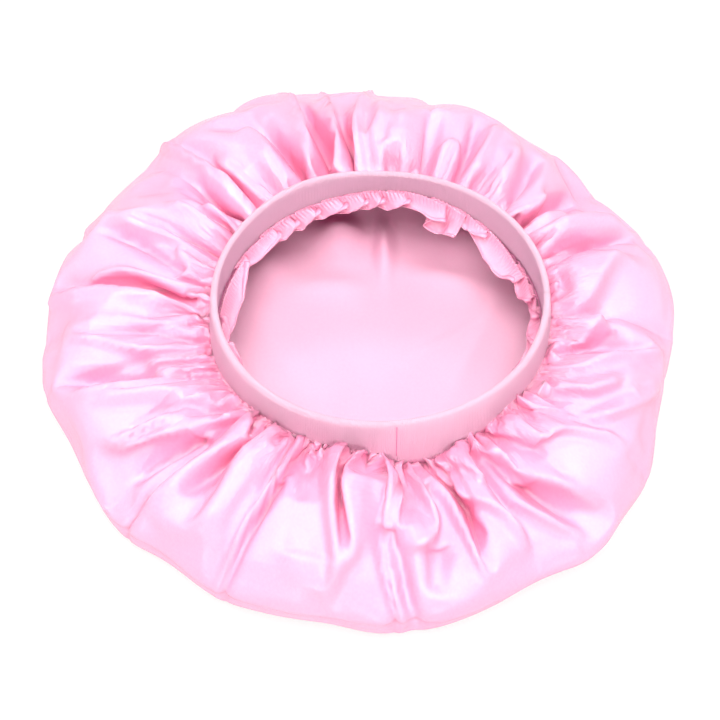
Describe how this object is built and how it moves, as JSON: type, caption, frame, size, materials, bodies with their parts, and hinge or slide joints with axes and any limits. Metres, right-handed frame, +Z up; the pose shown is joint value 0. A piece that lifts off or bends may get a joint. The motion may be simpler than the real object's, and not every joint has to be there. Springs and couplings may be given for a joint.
{
  "type": "hair bonnet",
  "caption": "Gathered satin hair bonnet on a wide knit elastic band, lying on its crown with its mouth up.",
  "frame": {"origin": "on the surface that the crown lies on, straight below the middle of the band's oval", "axes": "+Z up out of the mouth, +X along the band's longer axis, +Y along its shorter axis, away from the band's join"},
  "size_m": [0.3319, 0.3425, 0.063],
  "materials": {
    "satin": "satin",
    "knit": "matte",
    "elastic": "matte",
    "thread": "matte"
  },
  "bodies": {
    "root": {"satin_cap": "satin", "turned_hem": "satin", "band_cover": "knit", "elastic_core": "elastic", "seam_thread": "thread", "cover_join_thread": "thread", "elastic_join_thread": "thread"}
  },
  "joints": []
}
